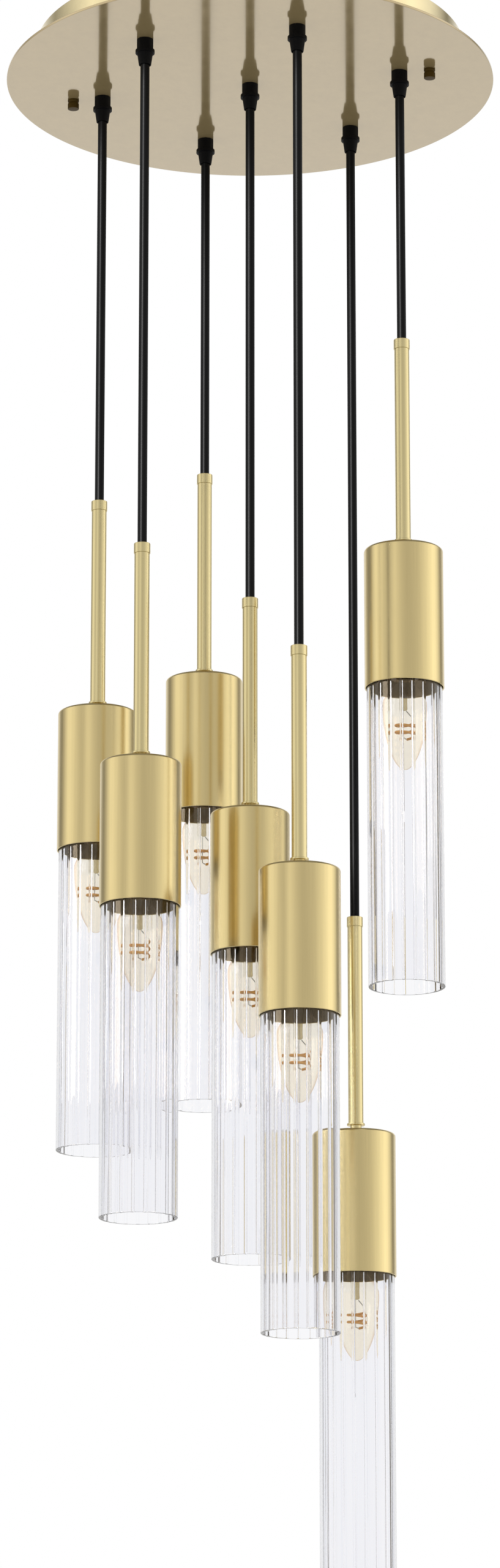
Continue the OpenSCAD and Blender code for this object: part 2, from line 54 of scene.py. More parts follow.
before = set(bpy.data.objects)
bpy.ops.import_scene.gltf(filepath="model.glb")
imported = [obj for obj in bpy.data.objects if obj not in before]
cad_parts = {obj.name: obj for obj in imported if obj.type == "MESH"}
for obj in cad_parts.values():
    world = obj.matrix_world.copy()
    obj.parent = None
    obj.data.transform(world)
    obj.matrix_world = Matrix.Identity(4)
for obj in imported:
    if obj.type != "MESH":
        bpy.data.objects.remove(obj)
CAD_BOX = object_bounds()

LETTERS = "abcdefg"
MM = 0.001
# Play between pieces that are screwed together
PLAY = 0.05 * MM
# Depth of the mouths in the grips and the stems that the cords leave by
MOUTH_H = 1.4 * MM
# Bore of the nipple and the pieces on it
LEAD_BORE = 2.9 * MM
# Lower edge of the lamp holder and of the bulb's screw base, above the cup's lower edge
HOLDER_RISE, BASE_RISE = 8 * MM, 9.25 * MM


def middle(node):
    """Middle of a solid's box."""
    low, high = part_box(node)
    return (low + high) / 2


def width(node):
    """Size of a solid's box."""
    low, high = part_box(node)
    return high - low


# Each head hangs on its cup's axis. Its heights are measured from the top of its stem.
HEADS = {
    x: Vector((*middle("cup_" + x).xy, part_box("stem_" + x)[1].z)) for x in LETTERS
}
STEM_TOP = HEADS["a"].z
CUP_LOW, CUP_HIGH = (corner.z - STEM_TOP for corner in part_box("cup_a"))
GLASS_LOW, GLASS_HIGH = (corner.z - STEM_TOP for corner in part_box("shade_a"))
FACE_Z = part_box("canopy_plate")[0].z
DECK_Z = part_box("canopy_plate")[1].z
GRIP_MOUTH_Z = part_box("cord_grips")[0].z


def on_axis(x):
    """Where a pendant's axis meets the ceiling."""
    return Vector((*HEADS[x].xy, 0))


def linear(code, alpha=1.0):
    """Linear colour of an sRGB hex code."""
    parts = [int(code[i : i + 2], 16) / 255 for i in (1, 3, 5)]
    bright = [
        p / 12.92 if p <= 0.04045 else ((p + 0.055) / 1.055) ** 2.4 for p in parts
    ]
    return (*bright, alpha)


def length(default, name, description):
    """A length that the user can set, in metres."""
    return FloatProperty(
        name=name,
        description=description,
        default=default,
        min=0.0,
        precision=5,
        unit="LENGTH",
    )


def amount(default, name, description, unit="NONE"):
    """A number that the user can set."""
    return FloatProperty(
        name=name, description=description, default=default, unit=unit
    )


def colour(code, name, description):
    """A colour that the user can set."""
    return FloatVectorProperty(
        name=name,
        description=description,
        default=linear(code),
        size=4,
        min=0.0,
        max=1.0,
        subtype="COLOR",
    )


class CanopySizes(bpy.types.PropertyGroup):
    """Sizes of the canopy."""

    plate_d: length(
        width("canopy_plate").x, "Plate diameter", "Diameter of the face plate"
    )
    edge_r: length(0.4 * MM, "Plate edge", "Radius of the face plate's edges")
    wall_d: length(width("canopy_wall").x, "Wall diameter", "Diameter of the side wall")
    wall_t: length(1.2 * MM, "Wall thickness", "Thickness of the side wall")
    flange_w: length(12 * MM, "Flange width", "Width of the wall's inner flange")
    cap_nut_d: length(
        width("cap_nuts").y, "Cap nut diameter", "Diameter of the two cap nuts"
    )


class CordSizes(bpy.types.PropertyGroup):
    """Sizes of the cords and their grips."""

    cord_d: length(width("cord_a").y, "Cord diameter", "Diameter of a cord")
    grip_d: length(13.2 * MM, "Grip diameter", "Diameter of a grip's body")
    ring_d: length(15.5 * MM, "Grip ring diameter", "Diameter of a grip's ring")
    nose_d: length(12.6 * MM, "Grip nose diameter", "Wide end of a grip's nose")
    mouth_d: length(8.87 * MM, "Grip mouth diameter", "Mouth that the cord leaves by")
    body_h: length(9 * MM, "Grip body length", "Length of a grip's body")
    ring_h: length(3 * MM, "Grip ring height", "Height of a grip's ring")


class HeadSizes(bpy.types.PropertyGroup):
    """Sizes of the stem, the cup and the glass."""

    stem_d: length(12 * MM, "Stem diameter", "Diameter of the stem's tube")
    collar_d: length(13 * MM, "Collar diameter", "Diameter of the stem's collar")
    collar_h: length(8 * MM, "Collar height", "Height of the stem's collar")
    foot_d: length(14.4 * MM, "Foot diameter", "Diameter of the flange at the foot")
    neck_d: length(9 * MM, "Neck diameter", "Diameter of the neck above the cup")
    neck_h: length(7 * MM, "Neck height", "Height of the neck above the cup")
    cup_d: length(width("cup_a").x, "Cup diameter", "Diameter of the cup")
    cup_wall: length(1 * MM, "Cup wall", "Thickness of the cup's wall")
    cup_edge_r: length(2.5 * MM, "Cup edge", "Radius of the cup's top edge")
    glass_d: length(width("shade_a").x, "Glass diameter", "Diameter of the glass")
    glass_t: length(2.2 * MM, "Glass thickness", "Thickness of the glass at its foot")
    rib_r: length(1.1 * MM, "Rib radius", "Radius of a rib inside the glass")
    rib_sink: length(0.1 * MM, "Rib depth", "Depth of a rib's centre in the glass")
    rib_count: IntProperty(
        name="Ribs", description="Number of ribs inside the glass", default=19, min=3
    )
    rib_start: amount(radians(10), "First rib", "Angle of the first rib", "ROTATION")


class BulbSizes(bpy.types.PropertyGroup):
    """Sizes of the bulb, its filament and its base."""

    bulb_d: length(35 * MM, "Bulb diameter", "Diameter of the bulb at its widest")
    bulb_l: length(76 * MM, "Bulb length", "Length of the bulb's glass")
    wide_at: length(53 * MM, "Widest place", "Its distance from the tip")
    neck_d: length(12 * MM, "Bulb neck", "Diameter of the bulb at its base")
    mount_d: length(4.4 * MM, "Glass stem", "Diameter of the glass stem inside")
    coil_r: length(7.2 * MM, "Spiral radius", "Radius of the filament's spiral")
    coil_d: length(2 * MM, "Filament diameter", "Diameter of the filament")
    coil_rise: length(5.6 * MM, "Spiral rise", "Rise of the spiral in one turn")
    wire_d: length(0.8 * MM, "Wire diameter", "Diameter of a filament wire")
    turns: amount(2.25, "Spiral turns", "Turns of the filament")


class Colours(bpy.types.PropertyGroup):
    """Colours of the finishes."""

    brass: colour("#DAC68F", "Cups", "Plated brass of the cups")
    stem: colour("#D9C996", "Stems", "Pale plated brass of the stems")
    plate: colour("#BDA778", "Canopy", "Lacquered satin brass of the face plate")
    # Painted light: a paler copy of the face plate's brass, for the light the side wall
    # catches
    wall: colour("#E2D09A", "Side wall", "Lacquered brass of the side wall")
    # Dark brown brass of the cap nuts, with a dull shine
    cap_nut: colour("#4C3B17", "Cap nuts", "Aged brass of the cap nuts")
    cord: colour("#080808", "Cords", "Black jacket of the cords")
    grip: colour("#080809", "Grips", "Black nylon of the grips")
    holder: colour("#5A4024", "Lamp holders", "Dark brown moulded lamp holders")
    glass: colour("#F8F8FA", "Glass", "Clear glass of the shades")
    bulb: colour("#FEFAF0", "Bulbs", "Faint cream tint of the bulbs")
    # The edge colours of the bulbs and their glass stems are partly deeper tint, partly
    # painted shade
    bulb_edge_tint_and_shade: colour("#DDB78E", "Bulb edges", "Tan tint along the bulbs' edges")
    mount: colour("#DAD3BD", "Bulb stems", "Olive grey glass inside the bulbs")
    mount_edge_tint_and_shade: colour("#9E9883", "Bulb stem edges", "Darker edges of that glass")
    filament: colour("#EEA860", "Filaments", "Orange coat of the filaments")
    base: colour("#CDBE9C", "Screw bases", "Brass of the screw bases and shells")
    steel: colour("#B9BCBE", "Steel", "Zinc-plated steel inside the canopy")
    block: colour("#E8E2CF", "Terminal blocks", "Ivory nylon of the terminal blocks")
    floor: colour("#E6E6E4", "Floor", "Pale floor of the studio")


class Studio(bpy.types.PropertyGroup):
    """Light and camera."""

    floor_z: amount(-6.0, "Floor height", "Height of the studio's floor", "LENGTH")
    floor_r: length(16.0, "Floor radius", "Radius of the studio's floor")
    tent_r: length(5.0, "Screen radius", "Radius of the screen that metal reflects")
    tent_h: length(6.4, "Screen height", "Height of the screen that metal reflects")
    ceiling: amount(0.3, "Ceiling", "Brightness of the grey ceiling")
    sky: amount(0.7, "Room light", "Strength of the room's soft light")
    key: amount(110.0, "Key lamp", "Power of the soft lamp at the left", "POWER")
    fill: amount(40.0, "Fill lamp", "Power of the soft lamp at the right", "POWER")
    stripe: amount(450.0, "Cord lamp", "Power of the cords' own tall lamp", "POWER")
    lens: amount(110.196, "Lens", "Focal length of the camera, in millimetres")


GROUPS = {
    "chandelier_canopy": CanopySizes,
    "chandelier_cords": CordSizes,
    "chandelier_heads": HeadSizes,
    "chandelier_bulbs": BulbSizes,
    "chandelier_colours": Colours,
    "chandelier_studio": Studio,
}


# Materials


def add_node(tree, kind, inputs=None, **settings):
    """Add a node with its settings, and link or set its inputs."""
    node = tree.nodes.new("ShaderNode" + kind)
    for name, value in settings.items():
        setattr(node, name, value)
    for name, value in (inputs or {}).items():
        if isinstance(value, bpy.types.NodeSocket):
            tree.links.new(value, node.inputs[name])
        else:
            node.inputs[name].default_value = value
    return node


def bare_material(name):
    """A new material without a shader, and its tree."""
    made = bpy.data.materials.new(name)
    made.use_nodes = True
    tree = made.node_tree
    tree.nodes.remove(tree.nodes["Principled BSDF"])
    return made, tree


def show(tree, shader):
    """Let a shader be what the material shows."""
    end = tree.nodes["Material Output"]
    tree.links.new(shader.outputs[0], end.inputs["Surface"])


def shade_of(rgba, share):
    """The same colour, lighter or darker by a share."""
    return (*(min(1.0, c * share) for c in rgba[:3]), 1.0)


def surface(
    name,
    rgba,
    roughness,
    grain,
    depth,
    metal=0.0,
    tone=0.08,
    spread=0.04,
    wrapped=False,
    specular=0.5,
):
    """A material with a fine grain.

    grain is the grain's size along each axis and depth its height, in millimetres. tone
    is how far the colour strays and spread how far the roughness does. A wrapped grain
    follows the piece's own map.
    """
    made = bpy.data.materials.get(name)
    if made:
        return made
    made = bpy.data.materials.new(name)
    made.use_nodes = True
    tree = made.node_tree
    shader = tree.nodes["Principled BSDF"]
    shader.inputs["Metallic"].default_value = metal
    shader.inputs["Specular IOR Level"].default_value = specular
    made.diffuse_color = rgba
    where = add_node(tree, "TexCoord").outputs["UV" if wrapped else "Object"]
    scale = [1 / (MM * size) for size in grain]
    stretched = add_node(tree, "Mapping", {"Vector": where, "Scale": scale})
    noise = {"Vector": stretched.outputs[0], "Scale": 1.0, "Detail": 3.0}
    fine = add_node(tree, "TexNoise", noise | {"Roughness": 0.6})
    # Handling marks a few centimetres wide change the gloss a little
    marks = add_node(
        tree, "TexNoise", {"Vector": where, "Scale": 1 / (40 * MM), "Detail": 2.0}
    )
    parts = {0: fine.outputs["Fac"], 1: marks.outputs["Fac"]}
    both = add_node(tree, "Math", parts, operation="ADD")
    tones = add_node(tree, "ValToRGB", {"Fac": fine.outputs["Fac"]})
    dark, light = tones.color_ramp.elements
    dark.position, dark.color = 0.3, shade_of(rgba, 1 - tone)
    light.position, light.color = 0.7, shade_of(rgba, 1 + tone)
    limits = {"To Min": roughness - spread, "To Max": roughness + spread}
    limits |= {"Value": both.outputs[0], "From Min": 0.6, "From Max": 1.4}
    gloss = add_node(tree, "MapRange", limits)
    height = {"Height": fine.outputs["Fac"], "Strength": 1.0, "Distance": depth * MM}
    relief = add_node(tree, "Bump", height)
    tree.links.new(tones.outputs["Color"], shader.inputs["Base Color"])
    tree.links.new(gloss.outputs[0], shader.inputs["Roughness"])
    tree.links.new(relief.outputs[0], shader.inputs["Normal"])
    return made


def brushed_brass(colours):
    """Brass-plated steel tube, brushed lengthwise: soft bands with fine lines."""
    # Real brush lines are about 0.05 mm apart. These are 1.6 mm so that they show.
    grain = (1.6, 120, 1)
    name, rgba = "Brushed_Brass_Plate", colours.brass
    return surface(name, rgba, 0.24, grain, 0.003, 1.0, 0.03, wrapped=True)


def pale_brass(colours):
    """The same plate on the stems, drawn finer: paler, with softer bands."""
    grain = (1.6, 150, 1)
    name, rgba = "Drawn_Brass_Tube", colours.stem
    return surface(name, rgba, 0.26, grain, 0.001, 1.0, 0.02, wrapped=True)


def lacquered(name, rgba, metal):
    """Satin brass sheet under clear lacquer."""
    made = surface(name, rgba, 0.12, (9, 14, 9), 0.004, metal, tone=0.03, spread=0.03)
    shader = made.node_tree.nodes["Principled BSDF"]
    shader.inputs["Coat Weight"].default_value = 1.0
    shader.inputs["Coat Roughness"].default_value = 0.06
    return made


def plate_brass(colours):
    """Lacquered face plate: part mirror, in which the cords show as brown lines."""
    return lacquered("Lacquered_Brass_Plate", colours.plate, 0.42)


def wall_brass_painted_lighter(colours):
    """The same lacquer on the bent side wall, given a paler colour and more mirror as
    painted light, for the light the wall catches.
    """
    return lacquered("Lacquered_Brass_Wall_Painted_Lighter", colours.wall, 0.7)


def dark_brown_brass(colours):
    """Turned brass: dark brown, with a dull shine."""
    grain = (3, 3, 0.2)
    return surface(
        "Dark_Brown_Turned_Brass", colours.cap_nut, 0.3, grain, 0.004, 0.1, 0.1, specular=0.05
    )


def zinc_steel(colours):
    """Zinc-plated steel: grey with a faint spangle."""
    return surface(
        "Zinc_Plated_Steel", colours.steel, 0.34, (4, 4, 4), 0.003, 1.0, 0.12, 0.07
    )


def base_brass(colours):
    """Pressed brass of the screw base and its shell: pale and shiny."""
    return surface(
        "Pressed_Brass", colours.base, 0.22, (0.8, 0.8, 0.8), 0.002, 1.0, 0.06
    )


def cord_jacket(colours):
    """Extruded PVC jacket: black, with a narrow grey sheen and faint die lines."""
    grain = (1.6, 150, 1)
    return surface(
        "PVC_Cord_Jacket", colours.cord, 0.34, grain, 0.001, wrapped=True, specular=0.07
    )


def grip_nylon(colours):
    """Moulded nylon: matt black with a fine texture."""
    return surface(
        "Moulded_Nylon", colours.grip, 0.5, (0.9, 0.9, 0.9), 0.012, specular=0.1
    )


def block_nylon(colours):
    """Moulded ivory nylon: smooth, slightly waxy."""
    return surface(
        "Ivory_Nylon", colours.block, 0.42, (1.5, 1.5, 1.5), 0.006, tone=0.03
    )


def holder_resin(colours):
    """Moulded phenolic resin: dark brown with a low gloss."""
    return surface(
        "Phenolic_Resin", colours.holder, 0.33, (0.7, 0.7, 0.7), 0.006, specular=0.2
    )


def filament_coat(colours):
    """Phosphor coat on the filament: chalky orange."""
    made = surface(
        "Phosphor_Coat", colours.filament, 0.6, (0.3, 0.3, 0.3), 0.02, tone=0.12
    )
    shader = made.node_tree.nodes["Principled BSDF"]
    shader.inputs["Subsurface Weight"].default_value = 0.2
    return made


def ramp(tree, factor, low, between, high):
    """The colours between three stops, each a position and a colour."""
    tones = add_node(tree, "ValToRGB", {"Fac": factor})
    stops = tones.color_ramp.elements
    stops[0].position, stops[0].color = low
    stops[1].position, stops[1].color = high
    middle = stops.new(between[0])
    middle.color = between[1]
    return tones.outputs["Color"]


def shade_glass(colours):
    """Mouth-blown soda glass: clear, with painted grey shade where the eye looks along its
    wall.
    """
    made = bpy.data.materials.get("Clear_Soda_Glass")
    if made:
        return made
    made = bpy.data.materials.new("Clear_Soda_Glass")
    made.use_nodes = True
    made.diffuse_color = (*colours.glass[:3], 0.3)
    tree = made.node_tree
    shader = tree.nodes["Principled BSDF"]
    for name, value in (
        ("Transmission Weight", 1.0),
        ("Roughness", 0.0),
        ("IOR", 1.46),
        # Painted reflection: a warm tint on its weak head-on shine stands in for the brass
        # round it
        ("Specular Tint", (1.0, 0.78, 0.5, 1.0)),
    ):
        shader.inputs[name].default_value = value
    # Painted shade: the colour greys towards the rim, for darker surroundings seen in the
    # glass's edges
    edge = add_node(tree, "LayerWeight", {"Blend": 0.5}).outputs["Facing"]
    half_shade, rim_shade = shade_of(colours.glass, 0.84), shade_of(colours.glass, 0.45)
    tones = ramp(tree, edge, (0.45, colours.glass), (0.75, half_shade), (1.0, rim_shade))
    tree.links.new(tones, shader.inputs["Base Color"])
    return made


def thin_glass(name, rgba, rim_tint_and_shade, gloss):
    """Glass under a millimetre thick, which hardly bends light.

    gloss is the share of shine at its rim.
    """
    made = bpy.data.materials.get(name)
    if made:
        return made
    made, tree = bare_material(name)
    made.diffuse_color = (*rgba[:3], 0.4)
    # Towards the rim the see-through colour darkens: partly the tint deepening along the
    # slanted path, partly painted shade for darker surroundings seen in the edges
    edge = add_node(tree, "LayerWeight", {"Blend": 0.5}).outputs["Facing"]
    half_shade = [(3 * a + b) / 4 for a, b in zip(rgba, rim_tint_and_shade)]
    tones = ramp(tree, edge, (0.5, rgba), (0.8, half_shade), (1.0, rim_tint_and_shade))
    through = add_node(tree, "BsdfTransparent", {"Color": tones})
    shine = add_node(tree, "BsdfGlossy", {"Roughness": 0.03})
    where = add_node(tree, "TexCoord").outputs["Object"]
    waves = add_node(tree, "TexNoise", {"Vector": where, "Scale": 1 / (12 * MM)})
    height = {"Height": waves.outputs["Fac"], "Strength": 1.0, "Distance": 0.05 * MM}
    relief = add_node(tree, "Bump", height)
    tree.links.new(relief.outputs[0], shine.inputs["Normal"])
    # The shine grows towards the rim as a Fresnel curve does, alike on both sides
    slant = add_node(tree, "Math", {0: edge, 1: 4.0}, operation="POWER")
    levels = {"Value": slant.outputs[0], "To Min": 0.03, "To Max": gloss}
    share = add_node(tree, "MapRange", levels)
    parts = {0: share.outputs[0], 1: through.outputs[0], 2: shine.outputs[0]}
    both = add_node(tree, "MixShader", parts)
    show(tree, both)
    return made


def bulb_glass(colours):
    """Blown bulb glass with a faint cream tint."""
    return thin_glass("Blown_Bulb_Glass", colours.bulb, colours.bulb_edge_tint_and_shade, 0.3)


def mount_glass(colours):
    """Pressed lead glass of the stem in the bulb: olive grey."""
    return thin_glass("Pressed_Lead_Glass", colours.mount, colours.mount_edge_tint_and_shade, 0.4)


# Making pieces


def arc(middle_r, middle_z, radius, start, end, steps):
    """Points on an arc of an outline, from one angle in degrees to another."""
    turns = [radians(start + (end - start) * k / steps) for k in range(steps + 1)]
    return [(middle_r + radius * cos(t), middle_z + radius * sin(t)) for t in turns]


def turned(outline, steps=64, closed=True):
    """A bmesh turned about the z axis from an outline of radius and height."""
    bm = bmesh.new()
    points = [bm.verts.new((r, 0, z)) for r, z in outline]
    following = points[1:] + points[: int(closed)]
    edges = [bm.edges.new(pair) for pair in zip(points, following)]
    bmesh.ops.spin(
        bm,
        geom=points + edges,
        axis=(0, 0, 1),
        cent=(0, 0, 0),
        angle=2 * pi,
        steps=steps,
        use_merge=True,
    )
    bmesh.ops.remove_doubles(bm, verts=bm.verts, dist=0.002 * MM)
    bmesh.ops.recalc_face_normals(bm, faces=bm.faces)
    return bm


def soften(bm, radius, segments=2):
    """Round the sharp edges of a bmesh."""
    steep = radians(35)
    sharp = [e for e in bm.edges if e.is_manifold and e.calc_face_angle() > steep]
    how = {"profile": 0.5, "affect": "EDGES", "material": -1, "clamp_overlap": True}
    bmesh.ops.bevel(bm, geom=sharp, offset=radius, segments=segments, **how)
    return bm


def wrap(bm, radius):
    """Lay a map in metres round a turned bmesh: u runs round it and v along it."""
    layer = bm.loops.layers.uv.new("wrap")
    for face in bm.faces:
        turns = [atan2(loop.vert.co.y, loop.vert.co.x) for loop in face.loops]
        for loop, turn in zip(face.loops, turns):
            if max(turns) - turn > pi:
                turn += 2 * pi
            at = loop.vert.co
            loop[layer].uv = (turn * radius, at.z - at.xy.length)
    return bm


def move(bm, moved, height):
    """Move vertices up or down, or those among what was extruded."""
    verts = [v for v in moved if isinstance(v, bmesh.types.BMVert)]
    bmesh.ops.translate(bm, verts=verts, vec=(0, 0, height))


def mesh_of(name, bm, material):
    """A mesh of a bmesh, with one material."""
    mesh = bpy.data.meshes.new(name)
    bm.to_mesh(mesh)
    bm.free()
    mesh.materials.append(material)
    return mesh


def add_object(name, data):
    """A new object in the scene."""
    made = bpy.data.objects.new(name, data)
    bpy.context.scene.collection.objects.link(made)
    return made


def add_piece(name, bm, material, body, nodes=(), place=(0, 0, 0), crease=35):
    """Make a piece of a bmesh, put it in its place and let it ride on its body."""
    bmesh.ops.translate(bm, verts=bm.verts, vec=place)
    mesh = mesh_of(name, bm, material)
    mesh.polygons.foreach_set("use_smooth", [True] * len(mesh.polygons))
    mesh.set_sharp_from_angle(angle=radians(crease))
    piece = add_object(name, mesh)
    # Flat faces stay flat in the light, and their rounded edges take the whole turn
    even = piece.modifiers.new("Even_Normals", "WEIGHTED_NORMAL")
    even.keep_sharp = True
    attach(piece, body)
    if nodes:
        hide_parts(*nodes)
    return piece


# Body and material slot of the pieces that stand for each of a head's nodes
HEAD_NODES = {
    "stem": ("head_", "brushed_brass"),
    "cup": ("head_", "brushed_brass"),
    "socket": ("head_", "dark_holder"),
    "shade": ("head_", "clear_glass"),
    "bulb": ("bulb_", "amber_glass"),
    "bulb_base": ("bulb_", "screw_base"),
}


def add_seven(kind, bm, material, node, crease=35):
    """Make the same piece on every head, for one of the head's nodes."""
    body, slot = HEAD_NODES[node]
    for x in LETTERS:
        name, nodes = f"{kind}_{x}", [f"{node}_{x}"]
        add_piece(name, bm.copy(), material, body + x, nodes, HEADS[x], crease)
    bm.free()


# Each panel's angle from the way to the camera, rightwards as it looks, and its level
SCREEN_PANELS = (
    (-180, 1.0),
    (-150, 1.0),
    (-128, 0.22),
    (-112, 0.58),
    (-92, 1.27),
    (-72, 1.08),
    (-56, 0.8),
    (-42, 0.68),
    (-27, 1.12),
    (-14, 0.85),
    (6, 0.65),
    (40, 0.76),
    (70, 1.15),
    (95, 1.6),
    (112, 1.1),
    (130, 0.15),
    (150, 1.0),
    (180, 1.0),
)
# Turn that brings the panels' zero to the way to the camera
SCREEN_TURN = 77.55


class StageOperator(bpy.types.Operator):
    """Add the camera, the lamps, the floor and the screen that the metal reflects"""

    bl_idname = "chandelier.add_stage"
    bl_label = "Studio"

    def execute(self, context):
        studio = context.scene.chandelier_studio
        context.scene.view_settings.view_transform = "Standard"
        self.add_camera(context, studio)
        self.light_room(context, studio)
        self.add_floor(studio, context.scene.chandelier_colours)
        self.add_screen(studio)
        self.add_ceiling(studio)
        target = (CAD_BOX[0] + CAD_BOX[1]) / 2
        self.add_lamp("Key_Lamp", (-4.2, -3.0, 1.2), target, 2.2, studio.key)
        self.add_lamp("Fill_Lamp", (3.6, -2.6, 1.6), target, 2.6, studio.fill)
        # A tall lamp beside the camera draws the grey stripe on the cords
        place = Vector((-1.3, -3.78, 0.9))
        target = Vector((0, 0, place.z))
        stripe = self.add_lamp("Cord_Lamp", place, target, 0.6, studio.stripe)
        stripe.data.shape, stripe.data.size_y = "RECTANGLE", 2.6
        stripe.visible_glossy = True
        return {"FINISHED"}

    def add_camera(self, context, studio):
        """Look from where the photograph was taken."""
        camera = add_object("Camera", bpy.data.cameras.new("Camera"))
        camera.data.lens = studio.lens
        camera.data.clip_start, camera.data.clip_end = 0.05, 60
        camera.location = (0.7923, -3.5882, -1.5803)
        camera.rotation_euler = Euler((radians(104.574), 0, radians(12.452)))
        context.scene.camera = camera

    def light_room(self, context, studio):
        """White behind the object, a softer white on it."""
        world = bpy.data.worlds.new("Studio_Room")
        world.use_nodes = True
        context.scene.world = world
        tree = world.node_tree
        path = add_node(tree, "LightPath")
        seen = path.outputs["Is Camera Ray"]
        for name in ("Is Glossy Ray", "Is Transmission Ray"):
            either = {0: seen, 1: path.outputs[name]}
            seen = add_node(tree, "Math", either, operation="MAXIMUM").outputs[0]
        levels = {"Value": seen, "To Min": studio.sky, "To Max": 1.0}
        strength = add_node(tree, "MapRange", levels)
        light = tree.nodes["Background"]
        light.inputs["Color"].default_value = (1, 1, 1, 1)
        tree.links.new(strength.outputs[0], light.inputs["Strength"])

    def add_floor(self, studio, colours):
        """A pale floor below the lamp."""
        pale = surface("Pale_Floor", colours.floor, 0.8, (3, 3, 3), 0.02, tone=0.01)
        bm = bmesh.new()
        bmesh.ops.create_circle(bm, cap_ends=True, radius=studio.floor_r, segments=96)
        move(bm, bm.verts, studio.floor_z)
        add_object("Floor", mesh_of("Floor", bm, pale))

    def add_screen(self, studio):
        """A round screen with lighter and darker panels, which only shine sees."""
        bm = bmesh.new()
        bmesh.ops.create_circle(bm, radius=studio.tent_r, segments=128)
        move(bm, bm.verts, -studio.tent_h / 2)
        raised = bmesh.ops.extrude_edge_only(bm, edges=bm.edges)["geom"]
        move(bm, raised, studio.tent_h)
        made, tree = bare_material("Lit_Fabric_Screen")
        where = add_node(tree, "TexCoord").outputs["Object"]
        rotation = (0, 0, radians(SCREEN_TURN))
        facing = add_node(tree, "Mapping", {"Vector": where, "Rotation": rotation})
        where = {"Vector": facing.outputs[0]}
        around = add_node(tree, "TexGradient", where, gradient_type="RADIAL")
        panels = add_node(tree, "ValToRGB", {"Fac": around.outputs["Fac"]})
        stops = panels.color_ramp.elements
        brightest = max(level for _, level in SCREEN_PANELS)
        for turn, level in SCREEN_PANELS[1:-1]:
            stops.new(turn / 360 + 0.5)
        for stop, (_, level) in zip(stops, SCREEN_PANELS):
            stop.color = (*[level / brightest] * 3, 1)
        lit = {"Color": panels.outputs["Color"], "Strength": brightest}
        show(tree, add_node(tree, "Emission", lit))
        self.show_to_shine("Screen", bm, made)

    def add_ceiling(self, studio):
        """A grey disc over the screen, which darkens the upper edges of the cups."""
        bm = bmesh.new()
        bmesh.ops.create_circle(bm, cap_ends=True, radius=studio.tent_r, segments=64)
        move(bm, bm.verts, studio.tent_h / 2)
        made, tree = bare_material("Grey_Fabric_Ceiling")
        show(tree, add_node(tree, "Emission", {"Strength": studio.ceiling}))
        self.show_to_shine("Ceiling", bm, made)

    def show_to_shine(self, name, bm, material):
        """Add a part of the studio that only reflections see."""
        shown = add_object(name, mesh_of(name, bm, material))
        for ray in ("camera", "diffuse", "transmission", "volume_scatter", "shadow"):
            setattr(shown, "visible_" + ray, False)

    def add_lamp(self, name, place, target, size, power):
        """A square soft lamp that the metal doesn't mirror."""
        lamp = add_object(name, bpy.data.lights.new(name, "AREA"))
        lamp.data.shape, lamp.data.size, lamp.data.energy = "SQUARE", size, power
        lamp.location = place
        aim = target - Vector(place)
        lamp.rotation_euler = aim.to_track_quat("-Z", "Y").to_euler()
        lamp.visible_camera = lamp.visible_glossy = False
        return lamp


class CordOperator(bpy.types.Operator):
    """Hang the seven free cords between the grips and the stems"""

    bl_idname = "chandelier.add_cords"
    bl_label = "Cords"

    def execute(self, context):
        sizes = context.scene.chandelier_cords
        jacket = cord_jacket(context.scene.chandelier_colours)
        radius = sizes.cord_d / 2
        lit = bpy.data.collections.new("Lit_By_Cord_Lamp")
        bpy.data.objects["Cord_Lamp"].light_linking.receiver_collection = lit
        for x in LETTERS:
            # Both ends are round and sit in the mouths of the grip and the stem
            low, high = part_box("cord_" + x)
            top, foot = high.z - radius, low.z + radius
            rings = 24
            line = [foot + (top - foot) * k / rings for k in range(1, rings)]
            outline = arc(0, foot, radius, -90, 0, 5) + [(radius, z) for z in line]
            outline += arc(0, top, radius, 0, 90, 5)
            bm = wrap(turned(outline, 32, closed=False), radius)
            at, node = on_axis(x), "cord_" + x
            name, slot = "free_" + node, "black_cord"
            cord = add_piece(name, bm, jacket, node, [node], at)
            lit.objects.link(cord)
        return {"FINISHED"}


class CanopyOperator(bpy.types.Operator):
    """Add the canopy's face plate, side wall and cap nuts"""

    bl_idname = "chandelier.add_canopy"
    bl_label = "Canopy"

    def execute(self, context):
        sizes = context.scene.chandelier_canopy
        colours = context.scene.chandelier_colours
        radius = sizes.plate_d / 2
        outline = [(0, DECK_Z), (radius, DECK_Z), (radius, FACE_Z), (0, FACE_Z)]
        plate = soften(turned(outline, 256, closed=False), sizes.edge_r, 3)
        brass = plate_brass(colours)
        add_piece("face_plate", plate, brass, "canopy", ["canopy_plate"])
        radius = sizes.wall_d / 2
        inner = radius - sizes.wall_t
        shelf = radius - sizes.flange_w
        outline = [
            (shelf, DECK_Z),
            (radius, DECK_Z),
            (radius, 0),
            (inner, 0),
            (inner, DECK_Z + sizes.wall_t),
            (shelf, DECK_Z + sizes.wall_t),
        ]
        wall = soften(turned(outline, 192), 0.3 * MM)
        brass = wall_brass_painted_lighter(colours)
        add_piece("side_wall", wall, brass, "canopy", ["canopy_wall"])
        self.add_cap_nuts(sizes, dark_brown_brass(colours))
        return {"FINISHED"}

    def add_cap_nuts(self, sizes, brass):
        """Two round cap nuts that carry the plate."""
        low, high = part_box("cap_nuts")
        radius = sizes.cap_nut_d / 2
        neck = radius - 0.5 * MM
        outline = [
            (0, FACE_Z),
            (radius, FACE_Z),
            (radius, FACE_Z - 1.6 * MM),
            (neck, FACE_Z - 2.1 * MM),
            (neck, FACE_Z - 2.9 * MM),
            (radius, FACE_Z - 3.4 * MM),
            (radius, low.z),
            (0, low.z),
        ]
        for side, reach in (("left", low.x + radius), ("right", high.x - radius)):
            nut = soften(turned(outline, 48, closed=False), 0.35 * MM)
            name, place = "cap_nut_" + side, (reach, 0, 0)
            add_piece(name, nut, brass, "canopy", ["cap_nuts"], place)


